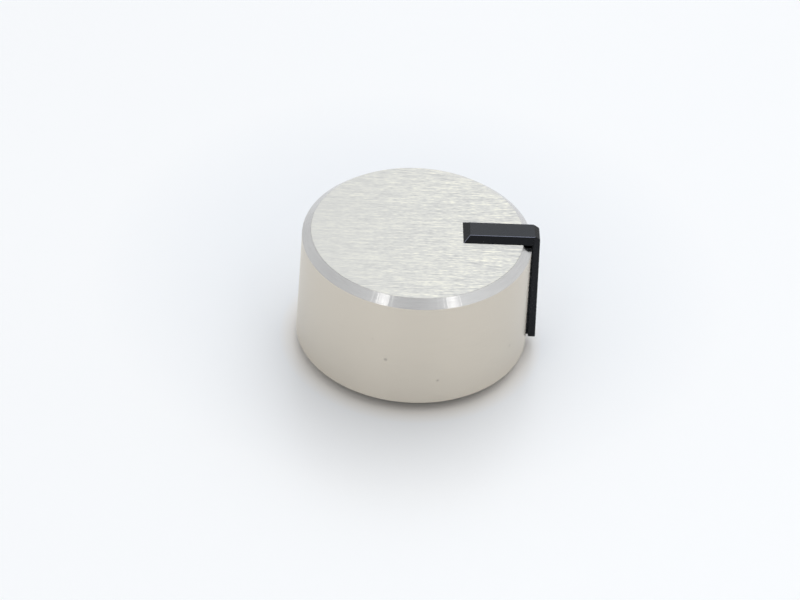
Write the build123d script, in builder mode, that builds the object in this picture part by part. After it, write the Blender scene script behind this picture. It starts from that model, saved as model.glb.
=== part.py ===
from build123d import *
from math import atan2, radians, sqrt, tan
import os

# Oven knob: a turned aluminium cap on a moulded insert, with a black L-shaped pointer.
# The knob stands on its open end. +Z runs up the shaft's axis to the flat face, the pointer lies
# along +X, and the origin is on the axis in the plane that the insert stands on. Millimetres.

# Cap, turned from solid bar
cap_open_radius = 21.0
cap_height = 22.3
cap_flare = 0.44
face_bevel_width = 1.58
face_bevel_height = 1.34
cap_wall_thickness = 1.8
cap_top_thickness = 2.2
cap_bore_corner = 0.5
open_edge_break = 0.1
bore_edge_break = 0.5

# Insert, one moulding that carries the cap and takes the shaft
cap_lift = 2.0
insert_clearance = 0.1
disc_thickness = 2.4
disc_corner = 0.8
skirt_thickness = 1.6
skirt_lead = 0.5
hub_radius = 6.6
hub_root_radius = 0.8
rib_count = 4
rib_thickness = 1.4
rib_setback = 3.0
crush_rib_count = 8
crush_rib_radius = 0.7
crush_rib_gap = 0.02
crush_rib_setback = 4.0
crush_rib_length = 11.0

# Socket for a 6 mm shaft with a flat
shaft_radius = 3.0
shaft_flat_distance = 1.6
socket_clearance = 0.05
lead_clearance = 0.25
lead_depth = 4.4
lead_taper_height = 0.4
mouth_bevel = 0.4
socket_depth = 15.0

# Leaf spring that presses on the shaft's flat
leaf_thickness = 0.35
leaf_width = 2.6
leaf_length = 9.4
leaf_preload = 0.2
leaf_seat_gap = 0.03
pocket_depth = 1.35
pocket_clearance = 0.15

# Pointer, a bar on the face with sloped sides, and a leg of the bar's top width down the wall
pointer_width = 3.74
bar_length = 13.68
bar_height = 0.98
side_slope_width = 1.2
end_slope_width = 1.15
corner_bevel_width = 0.9
corner_bevel_height = 0.63
corner_round = 0.4
leg_thickness = 1.15
leg_gap = 0.09
leg_inner_flare = 1.8
leg_outer_flare = 2.25
leg_foot_setback = 0.45
edge_round = 0.2

# Web of the pointer in the cap's slot, and the studs that hold it to the insert
web_width = 2.4
web_setback = 1.46
slot_clearance = 0.1
stud_radius = 1.0
stud_clearance = 0.1
stud_inset = 1.6
stud_skirt_gap = 0.55
stud_head_radius = 1.6
stud_head_height = 0.7

# Heights and radii that follow from the sizes above
face_z = cap_lift + cap_height
bevel_foot_z = face_z - face_bevel_height
cap_ceiling_z = face_z - cap_top_thickness
disc_floor_z = cap_ceiling_z - disc_thickness
cap_top_radius = cap_open_radius - cap_flare
face_radius = cap_top_radius - face_bevel_width
cap_bore_radius = cap_open_radius - cap_wall_thickness
insert_radius = cap_bore_radius - insert_clearance
skirt_inner_radius = insert_radius - skirt_thickness
socket_radius = shaft_radius + socket_clearance
lead_radius = shaft_radius + lead_clearance
flat_x = shaft_flat_distance + socket_clearance
pocket_floor_z = lead_depth + lead_taper_height
slot_width = web_width + 2 * slot_clearance

def wall_radius(z):
    """Radius of the cap's outer wall at a height, carried on past its edges."""
    return cap_top_radius + cap_flare * (bevel_foot_z - z) / (bevel_foot_z - cap_lift)


bar_top_z = face_z + bar_height
bar_top_half = pointer_width / 2
bar_foot_half = bar_top_half + side_slope_width
corner_foot_z = bar_top_z - corner_bevel_height
corner_slope = atan2(corner_bevel_height, corner_bevel_width)
leg_foot_z = cap_lift + leg_foot_setback
leg_top_inner = wall_radius(face_z) + leg_gap
leg_foot_inner = leg_top_inner + (face_z - leg_foot_z) * tan(radians(leg_inner_flare))
bar_end_radius = leg_top_inner + leg_thickness
leg_foot_outer = bar_end_radius + (corner_foot_z - leg_foot_z) * tan(radians(leg_outer_flare))
pointer_start = bar_end_radius - bar_length
flank_foot_end = sqrt(cap_top_radius**2 - bar_foot_half**2)
flank_top_end = bar_end_radius - corner_bevel_width - corner_round * tan(corner_slope / 2)
web_start = pointer_start + web_setback
stud_places = [web_start + stud_inset, skirt_inner_radius - stud_skirt_gap - stud_head_radius]

os.makedirs("parts", exist_ok=True)

# Cap: a cup with a bevelled face, slotted along the pointer from its top down to its open end
with BuildPart() as cap:
    with BuildSketch(Plane.XZ):
        with BuildLine():
            Polyline(
                (0, cap_ceiling_z),
                (0, face_z),
                (face_radius, face_z),
                (cap_top_radius, bevel_foot_z),
                (cap_open_radius, cap_lift),
                (cap_bore_radius, cap_lift),
                (cap_bore_radius, cap_ceiling_z),
                close=True,
            )
        make_face()
    revolve(axis=Axis.Z)
    open_end = faces().sort_by(Axis.Z)[0]
    open_edges = open_end.edges().sort_by(SortBy.RADIUS)
    chamfer(open_edges[-1], open_edge_break)
    chamfer(open_edges[0], bore_edge_break)
    ceiling = faces().filter_by(Plane.XY).sort_by(Axis.Z)[-2]
    chamfer(ceiling.edges(), cap_bore_corner)
    with BuildSketch(Plane.XZ):
        with BuildLine():
            Polyline(
                (web_start - slot_clearance, face_z),
                (web_start - slot_clearance, cap_ceiling_z - cap_bore_corner),
                (cap_bore_radius - cap_bore_corner, cap_ceiling_z - cap_bore_corner),
                (cap_bore_radius - cap_bore_corner, 0),
                (cap_open_radius, 0),
                (cap_open_radius, face_z),
                close=True,
            )
        make_face()
    extrude(amount=slot_width / 2, both=True, mode=Mode.SUBTRACT)

# Insert: disc and skirt inside the cap, hub with ribs, and the socket for the shaft
with BuildPart() as insert:
    with BuildSketch(Plane.XZ):
        with BuildLine():
            Polyline(
                (0, 0),
                (0, cap_ceiling_z),
                (insert_radius - disc_corner, cap_ceiling_z),
                (insert_radius, cap_ceiling_z - disc_corner),
                (insert_radius, skirt_lead),
                (insert_radius - skirt_lead, 0),
                (skirt_inner_radius, 0),
                (skirt_inner_radius, disc_floor_z),
                (hub_radius, disc_floor_z),
                (hub_radius, 0),
                close=True,
            )
        make_face()
    revolve(axis=Axis.Z)
    hub_edges = edges().filter_by(GeomType.CIRCLE).sort_by(SortBy.RADIUS)[:2]
    fillet(hub_edges.sort_by(Axis.Z)[-1], hub_root_radius)

    # Radial ribs stand clear of the +X side, where the pointer's studs come through
    rib_length = skirt_inner_radius - hub_radius + skirt_thickness
    with BuildSketch(Plane.XY.offset(rib_setback)):
        with PolarLocations((hub_radius + skirt_inner_radius) / 2, rib_count, start_angle=180 / rib_count):
            Rectangle(rib_length, rib_thickness)
    extrude(amount=disc_floor_z - rib_setback + disc_thickness / 2)

    # Crush ribs centre the skirt in the cap's bore
    crush_rib_centre = cap_bore_radius - crush_rib_gap - crush_rib_radius
    with BuildSketch(Plane.XY.offset(crush_rib_setback)):
        with PolarLocations(crush_rib_centre, crush_rib_count, start_angle=180 / crush_rib_count):
            Circle(crush_rib_radius)
    extrude(amount=crush_rib_length)

    # Round lead-in with a bevelled mouth, narrowing to the flat-sided length of the socket
    with BuildSketch(Plane.XZ):
        with BuildLine():
            Polyline(
                (0, 0),
                (lead_radius + mouth_bevel, 0),
                (lead_radius, mouth_bevel),
                (lead_radius, lead_depth),
                (shaft_flat_distance, lead_depth + lead_taper_height),
                (0, lead_depth + lead_taper_height),
                close=True,
            )
        make_face()
    revolve(axis=Axis.Z, mode=Mode.SUBTRACT)
    with BuildSketch(Plane.XY.offset(lead_depth)):
        Circle(socket_radius)
        with Locations((-flat_x, 0)):
            Rectangle(2 * socket_radius, 2 * socket_radius, align=(Align.MAX, Align.CENTER), mode=Mode.SUBTRACT)
    extrude(amount=socket_depth - lead_depth, mode=Mode.SUBTRACT)

    # Pocket behind the flat for the leaf spring
    pocket_length = leaf_length + 2 * pocket_clearance
    with BuildSketch(Plane.XY.offset(pocket_floor_z)):
        with Locations((-flat_x - pocket_depth, 0)):
            Rectangle(
                pocket_depth + flat_x,
                leaf_width + 2 * pocket_clearance,
                align=(Align.MIN, Align.CENTER),
            )
    extrude(amount=pocket_length, mode=Mode.SUBTRACT)

    # Holes for the pointer's studs
    with BuildSketch(Plane.XY.offset(disc_floor_z)):
        with Locations(*[(x, 0) for x in stud_places]):
            Circle(stud_radius + stud_clearance)
    extrude(amount=disc_thickness, mode=Mode.SUBTRACT)

# Leaf spring: a bowed strip with its ends on the pocket's back wall
leaf_back_x = -flat_x - pocket_depth + leaf_seat_gap + leaf_thickness / 2
leaf_crest_x = -shaft_flat_distance + leaf_preload - leaf_thickness / 2
leaf_low_z = pocket_floor_z + pocket_clearance
leaf_high_z = leaf_low_z + leaf_length
with BuildPart() as spring_clip:
    with BuildSketch(Plane.XZ):
        with BuildLine():
            ThreePointArc(
                (leaf_back_x, leaf_low_z),
                (leaf_crest_x, (leaf_low_z + leaf_high_z) / 2),
                (leaf_back_x, leaf_high_z),
            )
        trace(line_width=leaf_thickness)
    extrude(amount=leaf_width / 2, both=True)

# Pointer: the leg and its bevelled corner, then the bar with sloped sides and inner end
with BuildPart() as pointer:
    with BuildSketch(Plane.XZ):
        with BuildLine():
            Polyline(
                (leg_top_inner, bar_top_z),
                (bar_end_radius - corner_bevel_width, bar_top_z),
                (bar_end_radius, corner_foot_z),
                (leg_foot_outer, leg_foot_z),
                (leg_foot_inner, leg_foot_z),
                (leg_top_inner, face_z),
                close=True,
            )
        make_face()
        corner = vertices().sort_by_distance((bar_end_radius, bar_top_z))[:2]
        fillet(corner, corner_round)
    extrude(amount=bar_top_half, both=True)
    leg_face = faces().sort_by(Axis.X)[-1]
    fillet(leg_face.edges().filter_by(Axis.Y, reverse=True), edge_round)
    with BuildSketch(Plane.YZ.offset(pointer_start)):
        with BuildLine():
            Polyline(
                (-bar_foot_half, face_z),
                (bar_foot_half, face_z),
                (bar_top_half, bar_top_z),
                (-bar_top_half, bar_top_z),
                close=True,
            )
        make_face()
    extrude(amount=flank_top_end - pointer_start)
    with BuildSketch(Plane.XZ):
        with BuildLine():
            Polyline(
                (pointer_start, face_z),
                (pointer_start, bar_top_z),
                (pointer_start + end_slope_width, bar_top_z),
                close=True,
            )
        make_face()
    extrude(amount=bar_foot_half, both=True, mode=Mode.SUBTRACT)
    bar_top = faces().filter_by(Plane.XY).sort_by(Axis.Z)[-1]
    inner_end = faces().sort_by(Axis.X)[0]
    bar_edges = bar_top.edges().filter_by(Axis.X) + inner_end.edges().sort_by(Axis.Z)[1:]
    fillet(bar_edges, edge_round)
    with BuildSketch(Plane.XY.offset(face_z)):
        with BuildLine():
            Polyline(
                (flank_foot_end, bar_foot_half),
                (flank_top_end, bar_foot_half),
                (flank_top_end, bar_top_half),
                close=True,
            )
        make_face()
        mirror(about=Plane.XZ)
    extrude(amount=bar_height, mode=Mode.SUBTRACT)

    # Web in the cap's slot, and studs with staked heads under the insert's disc
    with BuildSketch(Plane.XZ):
        with BuildLine():
            Polyline(
                (web_start, face_z),
                (web_start, cap_ceiling_z),
                (cap_bore_radius, cap_ceiling_z),
                (cap_bore_radius, leg_foot_z),
                (leg_foot_inner, leg_foot_z),
                (leg_top_inner, face_z),
                close=True,
            )
        make_face()
    extrude(amount=web_width / 2, both=True)
    with BuildSketch(Plane.XY.offset(cap_ceiling_z)):
        with Locations(*[(x, 0) for x in stud_places]):
            Circle(stud_radius)
    extrude(amount=-disc_thickness)
    with BuildSketch(Plane.XY.offset(disc_floor_z)):
        with Locations(*[(x, 0) for x in stud_places]):
            Circle(stud_head_radius)
    extrude(amount=-stud_head_height)

for name, piece in {"cap": cap, "insert": insert, "spring_clip": spring_clip, "pointer": pointer}.items():
    piece.part.label = name
    export_step(piece.part, f"parts/{name}.step")
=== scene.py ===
from math import cos, pi, radians, sin

import bpy
from mathutils import Matrix, Vector


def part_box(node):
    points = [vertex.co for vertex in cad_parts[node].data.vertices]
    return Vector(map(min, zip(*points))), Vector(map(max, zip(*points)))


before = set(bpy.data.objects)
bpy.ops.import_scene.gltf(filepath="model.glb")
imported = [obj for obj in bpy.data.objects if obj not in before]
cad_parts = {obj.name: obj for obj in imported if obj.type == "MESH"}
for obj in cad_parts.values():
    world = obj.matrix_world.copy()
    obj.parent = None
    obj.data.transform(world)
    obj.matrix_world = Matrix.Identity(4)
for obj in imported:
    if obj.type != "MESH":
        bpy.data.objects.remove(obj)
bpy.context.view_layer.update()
scene = bpy.context.scene
scene.view_settings.view_transform = "Standard"

# The cap's heights come from the frame. Its bevel and radii repeat the solid's, in metres.
CAP_LOW, CAP_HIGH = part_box("cap")
FACE_Z = CAP_HIGH[2]
OPEN_Z = CAP_LOW[2]
BEVEL_HEIGHT = 0.00134
FACE_RADIUS = 0.01898
BEVEL_Z = FACE_Z - BEVEL_HEIGHT
WALL_RADIUS = 0.0208

# Camera, as found from the photograph's circles and edges
ELEVATION = radians(38.93)
POINTER_TURN = radians(2.77)
ROLL = radians(3.74)
DISTANCE = 0.504
AIM_RIGHT = 0.00202
AIM_DOWN = 0.00505
LENS_MM = 123.9
SENSOR_MM = 36.0

# Aluminium: the width over which one finish gives way to the next, and each finish's roughness
FINISH_EDGE = 0.00004
WALL_ROUGH = 0.27
BEVEL_ROUGH = 0.24
FACE_ROUGH = 0.34
ANISOTROPY = 0.97

# Tones along each finish's noise: place on the ramp, colour
FACE_TONES = [(0.25, (0.35, 0.35, 0.355)), (0.5, (0.58, 0.575, 0.545)), (0.75, (0.89, 0.865, 0.72))]
WALL_TONES = [(0.3, (0.69, 0.635, 0.55)), (0.7, (0.73, 0.675, 0.585))]
BEVEL_TONES = [(0.3, (0.65, 0.645, 0.64)), (0.7, (0.74, 0.735, 0.73))]

# Straight brushing along the pointer: squeeze across the grain, scale, share of the whole
BRUSHING = [
    (4.5, 1150.0, 0.35),  # fine streaks
    (6.0, 560.0, 0.40),  # short streaks
    (26.0, 110.0, 0.25),  # long marks
]
# Contrast of the brushing's streaks, on the side away from the pointer and at the pointer: the brushing is
# real, and its stronger, paler streaks toward the pointer are a painted sheen for light falling from that
# side
BRUSHING_AND_SHEEN_AWAY = 0.35
BRUSHING_AND_SHEEN_AT_POINTER = 1.2

# Turning marks round the wall and the bevel, and chatter across the bevel
TURNED_SCALE = 9000.0
TURNED_DRIFT = 0.0009
CHATTER_SCALE = 1300.0
CHATTER_DEPTH = 0.00003

# Height and strength of the fine grain on metal and plastic
GRAIN_DEPTH = 0.00001
GRAIN_STRENGTH = 0.3

# Small dark specks on the wall: turn from the pointer in degrees, height, size, depth of tone
WALL_SPECKS = [
    (-104.4, 0.01118, 0.00030, 0.45),
    (-78.4, 0.00702, 0.00026, 0.40),
    (-34.8, 0.00847, 0.00028, 0.35),
    (-111.6, 0.01513, 0.00020, 0.25),
    (-74.6, 0.01607, 0.00018, 0.20),
]
SPECK_TONE = (0.25, 0.22, 0.20)

# Black plastic: scales of its grain, its cloudy tone and its dust, and the tones of dust and of the painted
# highlight on rounded edges
PLASTIC_GRAIN = 9000.0
PLASTIC_CLOUD = 900.0
PLASTIC_ROUGH_SPREAD = 0.12
PLASTIC_TINT = (0.84, 0.89, 1.0)
DUST_SCALE = 2300.0
DUST_EDGE = 0.02
DUST_TONE = (0.2, 0.2, 0.21)
DUST_SHARE = 0.3
# painted highlight on the pointer's rounded upper edges, standing in for the reflection of the bright sky
# above
PAINTED_EDGE_HIGHLIGHT_TONE = (0.30, 0.32, 0.42)

# Spring steel, drawn along the strip
STEEL_TONES = [(0.3, (0.5, 0.5, 0.5)), (0.7, (0.66, 0.66, 0.65))]
STEEL_ROUGH = 0.3

# Floor: its own tones, painted shade as a cooler, darker tone round the knob, and painted light and shade as
# a warm edge where the metal throws its colour into the shadow under the cap
FLOOR_HALF = 3.0
FLOOR_DROP = 0.00002  # the floor lies a hair under the insert, so that the two faces never coincide
FLOOR_TONES = [(0.3, (0.945, 0.955, 0.97)), (0.7, (0.955, 0.965, 0.98))]
FLOOR_ROUGH = 0.35
PAINTED_SHADE_TONE = (0.87, 0.895, 0.93)
PAINTED_SHADE_CENTRE = (0, 0.018, 0)
PAINTED_SHADE_REACH = 0.045
PAINTED_SHADE_FADE = 0.03
PAINTED_BOUNCE_TONE = (0.92, 0.89, 0.85)
PAINTED_BOUNCE_REACH = 0.0227
PAINTED_BOUNCE_FADE = 0.003

# Soft boxes, 1 m from the knob: name, azimuth, elevation, width, height, brightness, colour
LAMPS = [
    ("left_lamp", -38, 57, 0.085, 0.24, 2.9, (1.0, 0.99, 0.97)),
    ("right_lamp", 51, 57, 0.085, 0.24, 2.3, (1.0, 0.99, 0.97)),
    ("back_lamp", 176, 41, 0.34, 0.24, 0.5, (0.70, 0.82, 1.0)),
]

# Soft patches of the studio's walls and ceiling: azimuth, elevation, half width in degrees, brightness
SKY_PATCHES = [
    (180, 48, 18, 0.60),
    (158, 44, 10, 0.75),
    (150, 48, 18, 0.54),
    (90, 66, 14, 0.40),
    (-30, 28, 18, 0.20),
    (150, 66, 14, 0.20),
    (0, 90, 30, 0.19),
    (-120, 8, 16, 0.12),
    (0, 62, 12, -0.22),
]
SKY_LEVEL = 0.62
SKY_COLOUR = (0.98, 0.99, 1.0)
BACKGROUND = (0.96, 0.97, 1.0)


class Nodes:
    """The node tree of a material or world, with short calls for adding and linking its nodes."""

    def __init__(self, owner):
        owner.use_nodes = True
        self.owner = owner
        self.tree = owner.node_tree
        self.tree.nodes.clear()

    def add(self, kind, inputs=None, **settings):
        node = self.tree.nodes.new(kind)
        for key, value in settings.items():
            setattr(node, key, value)
        for key, value in (inputs or {}).items():
            self.feed(node.inputs[key], value)
        return node

    def feed(self, socket, value):
        if isinstance(value, bpy.types.NodeSocket):
            self.tree.links.new(value, socket)
        elif socket.type == "RGBA":
            socket.default_value = (*value, 1)
        else:
            socket.default_value = value

    def object_place(self):
        return self.add("ShaderNodeTexCoord").outputs["Object"]

    def math(self, operation, a, b=0.0, c=0.0, clamp=False):
        node = self.add("ShaderNodeMath", operation=operation, use_clamp=clamp)
        for socket, value in zip(node.inputs, (a, b, c)):
            self.feed(socket, value)
        return node.outputs[0]

    def vector(self, operation, a, b):
        return self.add("ShaderNodeVectorMath", {0: a, 1: b}, operation=operation)

    def distance(self, place, point):
        return self.vector("DISTANCE", place, point).outputs["Value"]

    def combine(self, x=0.0, y=0.0, z=0.0):
        return self.add("ShaderNodeCombineXYZ", {"X": x, "Y": y, "Z": z}).outputs[0]

    def map_range(self, value, low, high, to_low=0.0, to_high=1.0):
        """The value moved from one range to another and held inside it."""
        ranges = {"From Min": low, "From Max": high, "To Min": to_low, "To Max": to_high}
        return self.add("ShaderNodeMapRange", {"Value": value, **ranges}).outputs[0]

    def step_up(self, value, edge, width):
        """0 below the edge and 1 above it, over a width."""
        return self.map_range(value, edge - width / 2, edge + width / 2)

    def mix(self, factor, a, b):
        return self.add("ShaderNodeMix", {0: factor, 2: a, 3: b}, data_type="FLOAT").outputs[0]

    def mix_colour(self, factor, a, b):
        return self.add("ShaderNodeMix", {0: factor, 6: a, 7: b}, data_type="RGBA").outputs[2]

    def ramp(self, factor, stops):
        node = self.add("ShaderNodeValToRGB", {"Fac": factor})
        while len(node.color_ramp.elements) < len(stops):
            node.color_ramp.elements.new(0.5)
        for element, (place, colour) in zip(node.color_ramp.elements, stops):
            element.position = place
            element.color = (*colour, 1)
        return node.outputs[0]

    def noise(self, vector, scale, detail=2.0, roughness=0.5):
        settings = {"Vector": vector, "Scale": scale, "Detail": detail, "Roughness": roughness}
        return self.add("ShaderNodeTexNoise", settings).outputs[0]

    def streaks(self, place, squeeze, scale, detail, roughness=0.5):
        """Noise drawn out along x."""
        squeezed = self.vector("MULTIPLY", place, (1.0, squeeze, 1.0)).outputs[0]
        return self.noise(squeezed, scale, detail, roughness)

    def bump(self, height, strength, depth, over=None):
        inputs = {"Height": height, "Strength": strength, "Distance": depth}
        if over is not None:
            inputs["Normal"] = over
        return self.add("ShaderNodeBump", inputs).outputs[0]

    def surface(self, inputs):
        """Ends a material in its shader and gives the material back."""
        shader = self.add("ShaderNodeBsdfPrincipled", inputs).outputs[0]
        self.add("ShaderNodeOutputMaterial", {"Surface": shader})
        return self.owner


def cap_metal():
    """Aluminium in three finishes: straight-brushed face, bright turned bevel and satin turned wall."""
    n = Nodes(bpy.data.materials.new("cap_metal"))
    place = n.object_place()
    x, y, z = n.add("ShaderNodeSeparateXYZ", {"Vector": place}).outputs
    radius = n.math("SQRT", n.math("ADD", n.math("MULTIPLY", x, x), n.math("MULTIPLY", y, y)))
    angle = n.math("ARCTAN2", y, x)
    on_face = n.step_up(z, FACE_Z - FINISH_EDGE, FINISH_EDGE)
    above_wall = n.step_up(z, BEVEL_Z, FINISH_EDGE)
    on_bevel = n.math("SUBTRACT", above_wall, on_face, clamp=True)

    brushed = 0.0
    for squeeze, scale, share in BRUSHING:
        brushed = n.math("MULTIPLY_ADD", n.streaks(place, squeeze, scale, 1.0), share, brushed)
    # painted sheen: the streaks' contrast grows toward the pointer's side, standing in for light falling from
    # there
    brushing_and_sheen = n.map_range(x, -FACE_RADIUS, FACE_RADIUS, BRUSHING_AND_SHEEN_AWAY, BRUSHING_AND_SHEEN_AT_POINTER)
    brushed = n.math("MULTIPLY_ADD", n.math("SUBTRACT", brushed, 0.5), brushing_and_sheen, 0.5)

    turned = n.noise(n.combine(n.math("MULTIPLY", angle, TURNED_DRIFT), z, radius), TURNED_SCALE, 3.0, 0.6)
    chatter = n.noise(n.combine(n.math("MULTIPLY", angle, FACE_RADIUS)), CHATTER_SCALE, 2.0, 0.6)

    speck = 0.0
    for turn, height, size, depth in WALL_SPECKS:
        spot = (WALL_RADIUS * cos(radians(turn)), WALL_RADIUS * sin(radians(turn)), height)
        near = n.math("SUBTRACT", 1.0, n.step_up(n.distance(place, spot), size, size * 0.8))
        speck = n.math("MULTIPLY_ADD", near, depth, speck)
    colour = n.mix_colour(speck, n.ramp(turned, WALL_TONES), SPECK_TONE)
    colour = n.mix_colour(above_wall, colour, n.ramp(turned, BEVEL_TONES))
    colour = n.mix_colour(on_face, colour, n.ramp(brushed, FACE_TONES))

    # grooves spread the light across themselves: along z where the metal is turned, along y on the face
    spread = n.combine(0.0, on_face, n.math("SUBTRACT", 1.0, on_face))
    across = n.bump(chatter, on_bevel, CHATTER_DEPTH)
    return n.surface(
        {
            "Base Color": colour,
            "Metallic": 1.0,
            "Roughness": n.mix(on_face, n.mix(on_bevel, WALL_ROUGH, BEVEL_ROUGH), FACE_ROUGH),
            "Anisotropic": ANISOTROPY,
            "Tangent": spread,
            "Normal": n.bump(n.mix(on_face, turned, brushed), GRAIN_STRENGTH, GRAIN_DEPTH, across),
        }
    )


def black_plastic(name, level, rough, specular, dust, edge_highlight_share):
    """Moulded black plastic. Dust is the noise's level above which a pale speck shows. The last argument is
    the share of the painted highlight, a paler bluish tone, on the rounded upper edges along the pointer."""
    n = Nodes(bpy.data.materials.new(name))
    place = n.object_place()
    grain = n.noise(place, PLASTIC_GRAIN, 2.0, 0.6)
    cloud = n.noise(place, PLASTIC_CLOUD, 3.0, 0.6)
    specks = n.step_up(n.noise(place, DUST_SCALE, 0.0), dust, DUST_EDGE)
    colour = n.ramp(cloud, [(0.3, (level * 0.85,) * 3), (0.7, (level * 1.15, level * 1.15, level * 1.3))])
    colour = n.mix_colour(n.math("MULTIPLY", specks, DUST_SHARE), colour, DUST_TONE)

    # painted highlight: a rounded upper edge faces neither straight up nor to the side, and leans across the
    # pointer; there the colour is lifted to a pale bluish tone
    normal = n.add("ShaderNodeNewGeometry").outputs["Normal"]
    facing = n.add("ShaderNodeSeparateXYZ", {"Vector": normal}).outputs
    sideways = n.math("ABSOLUTE", facing[1])
    off_side, off_top = n.step_up(facing[2], 0.85, 0.06), n.step_up(facing[2], 0.98, 0.02)
    edge_highlight_mask = n.math("SUBTRACT", off_side, off_top, clamp=True)
    edge_highlight_mask = n.math("MULTIPLY", edge_highlight_mask, n.step_up(sideways, 0.15, 0.1))
    colour = n.mix_colour(n.math("MULTIPLY", edge_highlight_mask, edge_highlight_share), colour, PAINTED_EDGE_HIGHLIGHT_TONE)
    cloudy = n.math("MULTIPLY", cloud, PLASTIC_ROUGH_SPREAD)
    return n.surface(
        {
            "Base Color": colour,
            "Roughness": n.math("ADD", cloudy, rough - PLASTIC_ROUGH_SPREAD / 2),
            "Specular IOR Level": specular,
            "Specular Tint": PLASTIC_TINT,
            "Normal": n.bump(grain, GRAIN_STRENGTH, GRAIN_DEPTH),
        }
    )


def spring_metal():
    n = Nodes(bpy.data.materials.new("spring_metal"))
    colour = n.ramp(n.streaks(n.object_place(), 20.0, 600.0, 2.0, 0.6), STEEL_TONES)
    return n.surface({"Base Color": colour, "Metallic": 1.0, "Roughness": STEEL_ROUGH})


def floor_material():
    n = Nodes(bpy.data.materials.new("floor"))
    place = n.object_place()
    colour = n.ramp(n.noise(place, 6.0, 2.0, 0.5), FLOOR_TONES)
    # painted shade: a cooler, darker tone on the floor round the knob, reaching further behind it
    out_of_painted_shade = n.step_up(n.distance(place, PAINTED_SHADE_CENTRE), PAINTED_SHADE_REACH, PAINTED_SHADE_FADE)
    colour = n.mix_colour(out_of_painted_shade, PAINTED_SHADE_TONE, colour)
    # painted light and shade: a warm, slightly darker ring under the cap's rim, for the colour the metal
    # throws into its shadow
    out_of_painted_bounce = n.step_up(n.distance(place, (0, 0, 0)), PAINTED_BOUNCE_REACH, PAINTED_BOUNCE_FADE)
    colour = n.mix_colour(out_of_painted_bounce, PAINTED_BOUNCE_TONE, colour)
    return n.surface({"Base Color": colour, "Roughness": FLOOR_ROUGH})


def paint(node, material):
    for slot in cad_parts[node].material_slots:
        slot.material = material


def place_new(name, data):
    thing = bpy.data.objects.new(name, data)
    scene.collection.objects.link(thing)
    return thing


def make_floor():
    mesh = bpy.data.meshes.new("floor")
    corners = [(x * FLOOR_HALF, y * FLOOR_HALF, -FLOOR_DROP) for x, y in ((-1, -1), (1, -1), (1, 1), (-1, 1))]
    mesh.from_pydata(corners, [], [(0, 1, 2, 3)])
    mesh.materials.append(floor_material())
    place_new("floor", mesh)


def sky_direction(azimuth, elevation):
    """Direction from the knob, in degrees. Azimuth 0 is behind the camera, 90 to the camera's right."""
    turned = radians(azimuth) - POINTER_TURN
    level = cos(radians(elevation))
    return Vector((level * sin(turned), -level * cos(turned), sin(radians(elevation))))


def make_lamp(name, azimuth, elevation, width, height, brightness, colour):
    """A soft box 1 m from the knob, which it looks at."""
    data = bpy.data.lights.new(name, "AREA")
    data.shape = "RECTANGLE"
    data.size = width
    data.size_y = height
    data.energy = pi * width * height * brightness
    data.color = colour
    away = sky_direction(azimuth, elevation)
    turn = away.to_track_quat("Z", "Y").to_matrix().to_4x4()
    place_new(name, data).matrix_world = Matrix.Translation(away) @ turn


def make_world():
    """A soft studio sky for light and reflections, and plain white where the camera looks past the floor."""
    world = bpy.data.worlds.new("world")
    scene.world = world
    n = Nodes(world)
    toward = n.add("ShaderNodeTexCoord").outputs["Generated"]
    total = SKY_LEVEL
    for azimuth, elevation, width, brightness in SKY_PATCHES:
        facing = n.vector("DOT_PRODUCT", toward, sky_direction(azimuth, elevation)).outputs["Value"]
        power = n.math("MULTIPLY", n.math("SUBTRACT", facing, 1.0), 1 / radians(width) ** 2)
        total = n.math("MULTIPLY_ADD", n.math("EXPONENT", power), brightness, total)
    studio = n.add("ShaderNodeBackground", {"Color": SKY_COLOUR, "Strength": total}).outputs[0]
    white = n.add("ShaderNodeBackground", {"Color": BACKGROUND}).outputs[0]
    seen = n.add("ShaderNodeLightPath").outputs["Is Camera Ray"]
    pick = n.add("ShaderNodeMixShader", {0: seen, 1: studio, 2: white}).outputs[0]
    n.add("ShaderNodeOutputWorld", {"Surface": pick})


def make_camera():
    data = bpy.data.cameras.new("camera")
    data.sensor_width = SENSOR_MM
    data.lens = LENS_MM
    data.clip_start = 0.01
    data.clip_end = 20.0
    turn = (
        Matrix.Rotation(-POINTER_TURN, 3, "Z")
        @ Matrix.Rotation(pi / 2 - ELEVATION, 3, "X")
        @ Matrix.Rotation(ROLL, 3, "Z")
    )
    place = Vector((0, 0, OPEN_Z)) - turn @ Vector((AIM_RIGHT, -AIM_DOWN, -DISTANCE))
    camera = place_new("camera", data)
    camera.matrix_world = Matrix.Translation(place) @ turn.to_4x4()
    scene.camera = camera


paint("cap", cap_metal())
paint("insert", black_plastic("insert_plastic", level=0.03, rough=0.55, specular=0.5, dust=0.9, edge_highlight_share=0.0))
# the pointer's rounded upper edges carry the full painted highlight
paint("pointer", black_plastic("pointer_plastic", level=0.003, rough=0.27, specular=0.27, dust=0.82, edge_highlight_share=1.0))
paint("spring_clip", spring_metal())
make_floor()
make_world()
for lamp in LAMPS:
    make_lamp(*lamp)
make_camera()
